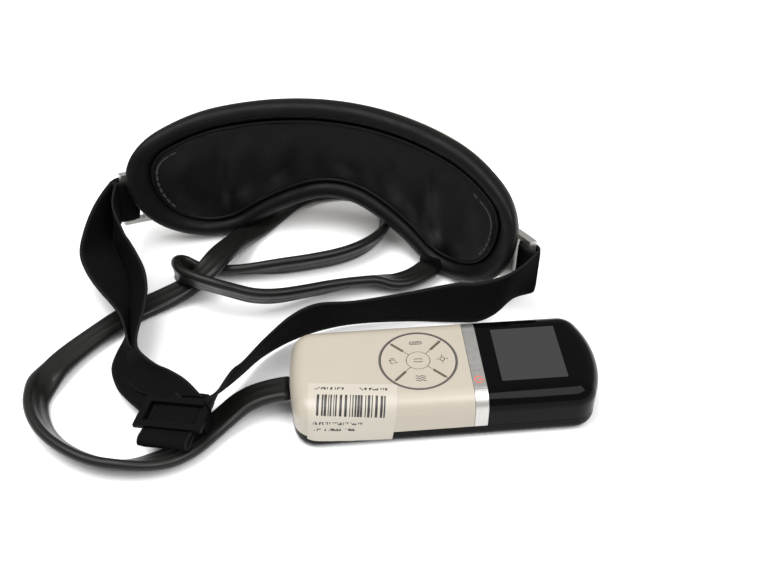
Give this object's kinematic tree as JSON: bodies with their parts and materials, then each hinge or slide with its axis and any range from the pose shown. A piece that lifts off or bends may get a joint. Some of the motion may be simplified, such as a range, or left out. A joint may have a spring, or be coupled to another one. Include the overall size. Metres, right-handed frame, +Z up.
{
  "type": "eye massager mask",
  "caption": "Padded eye massager mask with an elastic head strap, a flat air hose and a handheld controller with a round keypad and a display window.",
  "frame": {"origin": "on the table, below the middle of the mask, straps and controller together", "axes": "+X runs across the mask towards its display side, +Y is the way the back of the mask faces, +Z is up"},
  "size_m": [0.2679, 0.2275, 0.0786],
  "materials": {
    "cream_plastic": "satin",
    "silver_plastic": "satin",
    "black_gloss": "high gloss",
    "black_satin": "satin",
    "soft_leather": "soft",
    "satin_lining": "satin",
    "webbing": "ribbed",
    "hose_vinyl": "satin",
    "white_plastic": "matte",
    "window_acrylic": "gloss",
    "lcd_grey": "satin",
    "board_green": "satin",
    "steel": "plated",
    "brass_weight": "turned",
    "cell_jacket": "gloss",
    "silicone": "translucent",
    "film_amber": "film",
    "bladder_vinyl": "satin",
    "ring_bronze": "satin"
  },
  "bodies": {
    "massager": {"mask_shell": "cream_plastic", "mask_inner_frame": "black_satin", "strap_lug_right": "silver_plastic", "strap_lug_left": "silver_plastic", "rim_cushion": "soft_leather", "eye_pad": "satin_lining", "heater_film": "film_amber", "mask_screws": "steel", "mask_junction_board": "board_green", "air_splitter": "white_plastic", "mask_hose_gland": "black_satin", "strap_right": "webbing", "strap_left": "webbing", "strap_tail": "webbing", "air_hose": "hose_vinyl", "handset_base": "black_satin", "handset_front_cover": "cream_plastic", "trim_band_near": "silver_plastic", "trim_band_far": "silver_plastic", "display_hood": "black_gloss", "display_window": "window_acrylic", "lcd_module": "lcd_grey", "main_circuit_board": "board_green", "key_switches": "steel", "keypad_ring": "ring_bronze", "batteries": "cell_jacket", "battery_contacts": "steel", "battery_springs": "steel", "air_pump_motor": "steel", "air_pump_head": "white_plastic", "air_release_valve": "white_plastic", "buzzer": "black_satin", "handset_air_tube": "silicone", "handset_hose_gland": "black_satin", "handset_screws": "steel", "air_bladder_left": "bladder_vinyl", "air_bladder_right": "bladder_vinyl", "vibration_motor_left": "steel", "vibration_motor_right": "steel", "mask_air_tube_left": "silicone", "mask_air_tube_right": "silicone"},
    "power_button": {"power_button": "silver_plastic"},
    "key_up": {"key_up": "cream_plastic"},
    "key_down": {"key_down": "cream_plastic"},
    "key_left": {"key_left": "cream_plastic"},
    "key_right": {"key_right": "cream_plastic"},
    "key_centre": {"key_centre": "cream_plastic"},
    "battery_door": {"battery_door": "black_satin"},
    "strap_slider": {"strap_slider": "black_satin"},
    "motor_weight_left": {"motor_weight_left": "brass_weight"},
    "motor_weight_right": {"motor_weight_right": "brass_weight"},
    "air_pump_crank": {"air_pump_crank": "steel"}
  },
  "joints": [
    {"name": "power_button_press", "type": "slide", "parent": "massager", "child": "power_button", "axis": [0, 0, -1], "range_m": [0, 0.0005], "stiffness_N_per_m": 300},
    {"name": "key_up_press", "type": "slide", "parent": "massager", "child": "key_up", "axis": [0, 0, -1], "range_m": [0, 0.0005], "stiffness_N_per_m": 300},
    {"name": "key_down_press", "type": "slide", "parent": "massager", "child": "key_down", "axis": [0, 0, -1], "range_m": [0, 0.0005], "stiffness_N_per_m": 300},
    {"name": "key_left_press", "type": "slide", "parent": "massager", "child": "key_left", "axis": [0, 0, -1], "range_m": [0, 0.0005], "stiffness_N_per_m": 300},
    {"name": "key_right_press", "type": "slide", "parent": "massager", "child": "key_right", "axis": [0, 0, -1], "range_m": [0, 0.0005], "stiffness_N_per_m": 300},
    {"name": "key_centre_press", "type": "slide", "parent": "massager", "child": "key_centre", "axis": [0, 0, -1], "range_m": [0, 0.0005], "stiffness_N_per_m": 300},
    {"name": "battery_door_slide", "type": "slide", "parent": "massager", "child": "battery_door", "axis": [-0.9397, -0.342, 0], "range_m": [0, 0.012]},
    {"name": "strap_slider_slide", "type": "slide", "parent": "massager", "child": "strap_slider", "axis": [-0.0523, 0.9986, 0], "range_m": [-0.004, 0]},
    {"name": "motor_weight_left_spin", "type": "hinge", "parent": "massager", "child": "motor_weight_left", "pos_m": [-0.0621, 0.08373, 0.04654], "axis": [0, 0.1736, 0.9848], "continuous": true},
    {"name": "motor_weight_right_spin", "type": "hinge", "parent": "massager", "child": "motor_weight_right", "pos_m": [0.0299, 0.08373, 0.04654], "axis": [0, 0.1736, 0.9848], "continuous": true},
    {"name": "air_pump_crank_spin", "type": "hinge", "parent": "massager", "child": "air_pump_crank", "pos_m": [0.09121, -0.02162, 0.0096], "axis": [0.9397, 0.342, 0], "continuous": true}
  ]
}
